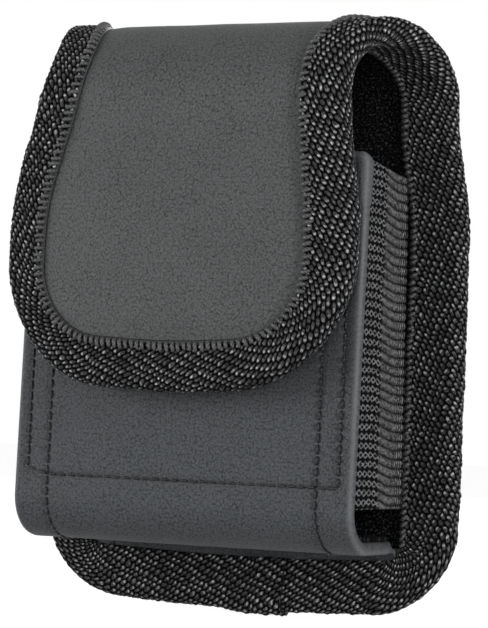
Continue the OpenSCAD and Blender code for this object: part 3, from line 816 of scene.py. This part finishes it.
def pocket_wall():
    """Leatherette and board as one closed sweep along the path. Each section goes across the
    outer face, round one edge, back over the inner face and round the other edge."""
    far, y, z, ny, nz = PATH
    left = PATH_END - far
    half = pocket_half(far, y)
    # Rounded at the rim, thinner below the hem, and a single ply in the flange
    g = np.sqrt(np.maximum(0.0, 1 - np.clip(1 - left / (WALL_T / 2), 0, 1) ** 2))
    lined = smooth((PATH_END - HEM - far) / 0.6 + 0.5)
    ply = smooth((far - BOARD_FROM) / BOARD_RUN)
    thick = mix(PLY_T, WALL_T - PLY_T * lined, ply)
    o1, o2 = WALL_T / 2 * (1 - g), thick - WALL_T / 2 * (1 - g)
    o2 = np.maximum(o2, o1 + 0.05)
    nx, ne, ni = 117, 9, 24
    ang = np.linspace(-np.pi / 2, np.pi / 2, ne + 2)[1:-1]
    ex = np.abs(np.cos(ang)) ** (2 / EDGE_SQUARE)
    eo = np.sign(np.sin(ang)) * np.abs(np.sin(ang)) ** (2 / EDGE_SQUARE)
    v = np.linspace(-1, 1, nx)
    vi = np.linspace(1, -1, ni)
    c, h = ((o1 + o2) / 2)[:, None], ((o2 - o1) / 2)[:, None]
    rr = np.minimum(EDGE_R, h * 0.95)
    flat = half[:, None] - rr
    x = np.concatenate([flat * v, flat + rr * ex, flat * vi, -(flat + rr * ex)[:, ::-1]], 1)
    o = np.concatenate([o1[:, None] + 0 * v, c + h * eo, o2[:, None] + 0 * vi,
                        (c + h * eo)[:, ::-1]], 1)
    f2 = far[:, None] + 0 * x
    outer = np.zeros_like(x)
    outer[:, :nx] = 1
    swell = 0.16 * noise(x / 16, f2 / 18, 51) + 0.06 * noise(x / 5, f2 / 7, 52)
    o = o + outer * (groove(x, f2) * ply[:, None] - swell * smooth((left[:, None] - 1) / 6))
    points = np.stack([x, y[:, None] + ny[:, None] * o, z[:, None] + nz[:, None] * o], -1)
    cloth = np.stack([x, f2, 0.35 * o], -1)
    rows, cols = x.shape
    # A highlight painted along the rim of the outer face and round both side edges
    painted_highlight = outer * np.exp(-((left[:, None] - 0.9) / 0.9) ** 2)
    corner = np.exp(-((ang + 0.8) / 0.55) ** 2)
    painted_highlight[:, nx:nx + ne], painted_highlight[:, -ne:] = corner, corner[::-1]
    return make("pocket_leather", points, loops(rows, cols), SHADED_POCKET_LEATHER, cloth, painted_highlight)


pocket = pocket_wall()
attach(pocket, "holster")
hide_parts("pocket_cover", "pocket_board")


def on_path(path, way, x, far, out):
    """Points out above a face that is swept along a path, and the outward normal there. way
    is -1 where the path's normals point inward."""
    at, y, z, ny, nz = path
    yy, zz = np.interp(far, at, y), np.interp(far, at, z)
    my, mz = way * np.interp(far, at, ny), way * np.interp(far, at, nz)
    return np.stack([x, yy + my * out, zz + mz * out], -1), np.stack([0 * yy, my, mz], -1)


def on_pocket(x, far, out):
    return on_path(PATH, -1, x, far, out)


def stitches(line, face, pitch, foot, lift, radius, gap=None, steps=7, sides=6):
    """Threads along a line of (x, distance) points on a face, from foot above it at the needle
    holes to lift more between them. Without a gap given, a fifth of each stitch is one."""
    line = np.asarray(line, float)
    far = distances(line)
    count = max(1, round(far[-1] / pitch))
    step = far[-1] / count
    gap = step / 5 if gap is None else gap
    q = np.linspace(0, 1, steps)
    arch = np.sin(np.pi * q) ** 0.5
    rings = []
    for k in range(count):
        at = mix(k * step + gap / 2, (k + 1) * step - gap / 2, q)
        x, f = np.interp(at, far, line[:, 0]), np.interp(at, far, line[:, 1])
        point, up = face(x, f, foot + lift * arch)
        rings.append(tube(point, up, radius * (0.55 + 0.45 * arch), sides))
    return rings


SEAM = dict(face=on_pocket, pitch=2.5, foot=-0.60, lift=0.68, radius=0.34, gap=0.52,
            steps=9, sides=7)
SEAM_FOOT, SEAM_TOP = 3.6, PATH_END - 3.0
LEFT_RISE = 1.5  # the outer left column ends this much higher
seams = []
for side in (-1, 1):
    near, off = side * STITCH_IN, side * STITCH_OUT
    foot = ROW_AT + LEFT_RISE if side < 0 else ROW_AT
    for line in ([[near, SEAM_FOOT], [near, SEAM_TOP]], [[off, foot], [off, SEAM_TOP]],
                 [[off, foot], [near, ROW_AT]]):
        seams += stitches(line, **SEAM)
seams += stitches([[-STITCH_IN, ROW_AT], [STITCH_IN, ROW_AT]], **SEAM)
pocket_seams = joined("pocket_stitching", seams, THREAD)
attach(pocket_seams, "holster")


def pocket_lining():
    """Plush on the inner face, from the back of the floor round to the hem."""
    keep = (PATH[0] > PLUSH_FROM) & (PATH[0] < PATH_END - HEM - 0.2)
    far, y, z, ny, nz = (q[keep][:, None] for q in PATH)
    v = np.linspace(-1, 1, 100)[None, :]
    x = (pocket_half(far, y) - 1.3) * v
    nap = np.abs(0.25 * noise(x / 1.4, far / 1.4, 61))
    low, high = WALL_T - PLY_T + 0.03 + 0 * x, WALL_T - 0.1 + nap

    def face(o):
        return np.stack([x, y + ny * o, z + nz * o], -1)

    cloth = np.stack([x, far + 0 * x, 0 * x], -1)
    return shell("pocket_lining_plush", face(low), face(high), PLUSH, cloth)


pocket_plush = pocket_lining()
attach(pocket_plush, "holster")
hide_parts("pocket_lining")


# ---- Elastic sides ----

def elastic(side):
    """A ribbed elastic side: a knitted band in front, then ribs that fall to the back."""
    front_x = POCKET_W / 2 - PLY_T
    low_y = front_y(ELASTIC_LOW) + WALL_T / LEAN_COS - 0.3
    back_y = INNER_Y - 0.05
    up = np.linspace(0, 1, 251)[:, None]
    q = np.linspace(0, 1, 97)[None, :]
    ends = np.array([ELASTIC_LOW, ELASTIC_LOW + ELASTIC_H])
    low_x, high_x = half_w(ends - BASE_Z) - TAPE_IN - 0.3
    back_x = mix(low_x, high_x, up)
    z = ELASTIC_LOW + up * (ELASTIC_H + ELASTIC_SLOPE * (1 - q))
    y0 = low_y + LEAN * ELASTIC_H * up
    y = mix(y0, back_y, q)
    x = mix(front_x, back_x, q) - 0.5 * np.sin(np.pi * q) * (0.6 + 0.4 * noise(z / 20, q * 0, 71))
    phase = (z + RIB_DROP * smooth((q - 0.30) / 0.5) + 0.15 * noise(q * 6, z / 5, 72)) / RIB
    f = phase - np.floor(phase)
    rib = np.sin(np.pi * f) ** 0.8
    knit = 1 - smooth((q - KNIT_TO) / 0.04)
    hem = smooth((q - HEM_FROM) / 0.04)
    g = (y - y0) / STITCH - np.floor((y - y0) / STITCH)
    slope = np.clip((f - 0.18) / 0.64, 0, 1)
    cross = smooth(1 - np.minimum(np.abs(g - slope), np.abs(g + slope - 1)) / 0.28)
    cords = np.abs(np.sin(2.4 * (y - y0)))
    high = mix(mix(rib, 0.3 + 0.7 * cross * rib, knit), rib * (0.6 + 0.4 * cords), hem)
    end = np.minimum(up, 1 - up) * ELASTIC_H
    lip = np.clip(1 - end / 0.7, 0, 1)
    out = 0.45 * (high - 0.7) - 0.5 * (1 - np.sqrt(1 - lip * lip))
    outer = np.stack([side * (x + out), y, z], -1)
    inner = np.stack([side * (x - ELASTIC_T + 0.15), y, z], -1)
    grid = np.stack([y - y0, phase, q + 0 * y], -1)
    if side < 0:
        outer, inner, grid = outer[:, ::-1], inner[:, ::-1], grid[:, ::-1]
    return shell("elastic_side_" + ("right" if side > 0 else "left"), outer, inner, ELASTIC, grid)


for side, node in ((1, "elastic_right"), (-1, "elastic_left")):
    piece = elastic(side)
    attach(piece, "holster")
    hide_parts(node)


# ---- Closure patches ----

PATCH_W, PATCH_H, PATCH_R, PATCH_T = 38.0, 22.0, 3.0, 2.5
PATCH_AT = 77.0  # height of both above the panel's foot, closed
HOOK_WAVE = 3.3


def patch_grid(pitch):
    """Points of a patch with rounded corners, across it and up it."""
    v = np.linspace(-1, 1, int(PATCH_H / pitch))[:, None]
    h = np.linspace(-1, 1, int(PATCH_W / pitch))[None, :]
    y = v * PATCH_H / 2
    drop = np.clip(np.abs(y) - (PATCH_H / 2 - PATCH_R), 0, PATCH_R)
    half = PATCH_W / 2 - (PATCH_R - np.sqrt(np.maximum(PATCH_R ** 2 - drop ** 2, 0.0)))
    return half * h, y + 0 * h


px, py = patch_grid(0.6)
border = smooth((PATCH_W / 2 - np.abs(px)) / 1.2) * smooth((PATCH_H / 2 - np.abs(py)) / 1.2)
mid_far = path_of_z(BASE_Z + PATCH_AT)
tuft = 0.45 * np.abs(noise(px / 0.9, py / 0.9, 81))
top_pts, _ = on_pocket(px, mid_far + py, mix(1.2, PATCH_T - 0.35, border) + tuft * border)
low_pts, _ = on_pocket(px, mid_far + py, 0 * px - 0.1)
cloth = np.stack([px, py, 0 * px], -1)
loop_patch = shell("loop_patch_pile", top_pts, low_pts, PILE, cloth)
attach(loop_patch, "holster")
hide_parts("loop_patch")

hook_s = S_FLAP + BACK_H - PATCH_AT
base = CORE_T / 2 + pad(hook_s + py, px)
hooks = np.abs(np.sin(px * HOOK_WAVE) * np.sin(py * HOOK_WAVE))
hooks = base + mix(1.2, PATCH_T + 0.1, border) - 0.35 * hooks * border
hook_patch = shell("hook_patch_pile", on_strip(hook_s + py, px, -hooks),
                   on_strip(hook_s + py, px, -base + 0.1), PILE, cloth)
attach(hook_patch, "flap")
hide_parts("hook_patch")


# ---- Belt loop ----

LOOP_W, LOOP_T, TUNNEL_H, TUNNEL_D, LOOP_RAMP, LOOP_TAB = 50.0, 1.8, 54.0, 5.0, 5.0, 11.0


def belt_loop():
    """The webbing as a closed sheet, and the path of its inner face in side view."""
    near, turn = 0.05 - TUNNEL_D / 2, TUNNEL_H / 2
    reach = turn + LOOP_RAMP
    line = np.array([[near, -reach - LOOP_TAB], [near, -reach], [TUNNEL_D / 2, -turn],
                     [TUNNEL_D / 2, turn], [near, reach], [near, reach + LOOP_TAB]])
    far = distances(line)
    at = np.linspace(0, far[-1], 170)
    soft = np.linspace(-1.6, 1.6, 9)
    y = np.mean([np.interp(np.clip(at + k, 0, far[-1]), far, line[:, 0]) for k in soft], 0)
    z = np.mean([np.interp(np.clip(at + k, 0, far[-1]), far, line[:, 1]) for k in soft], 0)
    z[0], z[-1] = line[0, 1], line[-1, 1]
    dy, dz = np.gradient(y), np.gradient(z)
    length = np.hypot(dy, dz)
    ny, nz = (dz / length)[:, None], (-dy / length)[:, None]
    x = np.linspace(-LOOP_W / 2, LOOP_W / 2, 161)[None, :]
    at2 = at[:, None]
    i = np.floor(x / WEB_ROW + 1e-6)
    ridge = np.sin(np.pi * (x / WEB_ROW - i)) ** 0.7
    p = at2 / WEB_FLOAT + WEB_SHIFT * i
    f = p - np.floor(p)
    lift = smooth((0.5 - np.abs(f - 0.5)) * 4 - 0.1)
    tone = ridge * mix(0.2, 1, lift) + 0 * at2
    rim = np.clip(1 - (LOOP_W / 2 - np.abs(x)) / 0.9, 0, 1)
    roll = 0.7 * (1 - np.sqrt(1 - rim * rim))
    ends = np.clip(1 - np.minimum(at2, far[-1] - at2) / 0.9, 0, 1)
    roll = roll + 0.6 * (1 - np.sqrt(1 - ends * ends))
    top = LOOP_T - 0.12 + 0.28 * (tone - 0.6) - roll

    def face(o):
        return np.stack([x + 0 * o, y[:, None] + ny * o, z[:, None] + nz * o], -1)

    cloth = np.stack([at2 + 0 * top, x / WEB_ROW + 0 * top, 0 * top], -1)
    piece = shell("belt_loop_webbing", face(top), face(0.02 + 0 * top), WEBBING, cloth)
    return piece, (at, y, z, ny[:, 0], nz[:, 0])


loop, LOOP_PATH = belt_loop()
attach(loop, "holster")
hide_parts("belt_loop")


def on_loop(x, far, out):
    return on_path(LOOP_PATH, 1, x, far, out)


# A crossed box of stitches on each tab
TAB_SEAM = dict(face=on_loop, pitch=2.4, foot=LOOP_T - 0.35, lift=0.5, radius=0.3)
BOX_IN, BOX_H, BOX_W = 1.8, LOOP_TAB - 3.2, LOOP_W - 4.4
seams = []
for low in (BOX_IN, LOOP_PATH[0][-1] - BOX_IN - BOX_H):
    high, side = low + BOX_H, BOX_W / 2
    for line in ([[-side, low], [side, low], [side, high], [-side, high], [-side, low]],
                 [[-side, low], [side, high]], [[-side, high], [side, low]]):
        seams += stitches(line, **TAB_SEAM)
loop_seams = joined("belt_loop_stitching", seams, THREAD)
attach(loop_seams, "holster")


# ---- CAD nodes that stay, hidden inside the padding ----

BOARD = board_material("stiffening_board")
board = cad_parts["back_board"]
for place in board.material_slots:
    place.material = BOARD


# ---- Stage, light and camera ----

FLOOR_HALF, FLOOR_GAP = 3.0, 0.0004  # in m
FLOOR_SEEN, WORLD_LIT = 0.72, 0.14


def seen(tree):
    """1 for what the camera sees, straight, mirrored or through glass, and 0 for other light."""
    path = add(tree, "ShaderNodeLightPath").outputs
    mirrored = maths(tree, "MAXIMUM", path["Is Camera Ray"], path["Is Glossy Ray"])
    return maths(tree, "MAXIMUM", mirrored, path["Is Transmission Ray"])


floor_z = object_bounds()[0][2] - FLOOR_GAP
floor_mesh = bpy.data.meshes.new("floor")
floor_mesh.from_pydata([(x * FLOOR_HALF, y * FLOOR_HALF, floor_z)
                        for x, y in ((-1, -1), (1, -1), (1, 1), (-1, 1))], [], [(0, 1, 2, 3)])
floor = bpy.data.objects.new("floor", floor_mesh)
bpy.context.collection.objects.link(floor)
material, tree = graph("floor_white")
matt = add(tree, "ShaderNodeBsdfDiffuse", {"Color": (0.85, 0.85, 0.85, 1)})
glow = add(tree, "ShaderNodeEmission", {"Color": (1, 1, 1, 1), "Strength": 1.30})
share = times(tree, seen(tree), FLOOR_SEEN)
both = add(tree, "ShaderNodeMixShader", {0: share, 1: matt.outputs[0], 2: glow.outputs[0]})
add(tree, "ShaderNodeOutputMaterial", {"Surface": both.outputs[0]})
floor_mesh.materials.append(material)

world = bpy.data.worlds.new("studio")
bpy.context.scene.world = world
world.use_nodes = True
tree = world.node_tree
tree.nodes.clear()
level = plus(tree, times(tree, seen(tree), 1 - WORLD_LIT), WORLD_LIT)
back = add(tree, "ShaderNodeBackground", {"Color": (1, 1, 1, 1), "Strength": level})
add(tree, "ShaderNodeOutputWorld", {"Surface": back.outputs[0]})


def softbox(name, place, size, power):
    """A lamp that faces the holster, with place and size in m and power in watts."""
    light = bpy.data.lights.new(name, "AREA")
    light.shape = "RECTANGLE"
    light.size, light.size_y, light.energy = size[0], size[1], power
    lamp = bpy.data.objects.new(name, light)
    lamp.location = place
    lamp.rotation_euler = (Vector((0, 0, 0)) - Vector(place)).to_track_quat("-Z", "Y").to_euler()
    bpy.context.collection.objects.link(lamp)


softbox("left", (-0.86, -0.76, 0.05), (0.7, 0.8), 12.5)
softbox("right", (1.04, -0.38, 0.12), (0.20, 0.8), 10.5)
softbox("front", (0.40, -1.10, 0.0), (0.25, 0.25), 3.0)
softbox("back", (-0.25, 1.25, 0.20), (0.9, 0.7), 9.0)

# The photo's camera, with its lens and shift in pixels
AZ, EL, ROLL = np.radians([28.001, -2.201, 2.393])
DIST, LENS_PX, SHIFT_PX, TARGET = 679.49, 2934.93, (24.392, -5.989), Vector((0, -22.6, 4.0))
PHOTO_PX, SENSOR = 628, 36.0  # the photo's longer side and the sensor's, in mm
backward = Vector((np.sin(AZ) * np.cos(EL), -np.cos(AZ) * np.cos(EL), np.sin(EL)))
right = Vector((np.cos(AZ), np.sin(AZ), 0))
above = backward.cross(right)
tilted = right * np.cos(ROLL) + above * np.sin(ROLL)
upward = above * np.cos(ROLL) - right * np.sin(ROLL)
view = bpy.data.cameras.new("photo_view")
view.sensor_width = SENSOR
view.lens = LENS_PX * SENSOR / PHOTO_PX
view.shift_x, view.shift_y = SHIFT_PX[0] / PHOTO_PX, SHIFT_PX[1] / PHOTO_PX
view.clip_start = 0.01
camera = bpy.data.objects.new("photo_view", view)
camera.matrix_world = (Matrix.Translation((TARGET + backward * DIST) * MM)
                       @ Matrix((tilted, upward, backward)).transposed().to_4x4())
bpy.context.collection.objects.link(camera)
bpy.context.scene.camera = camera
bpy.context.scene.view_settings.view_transform = "Standard"
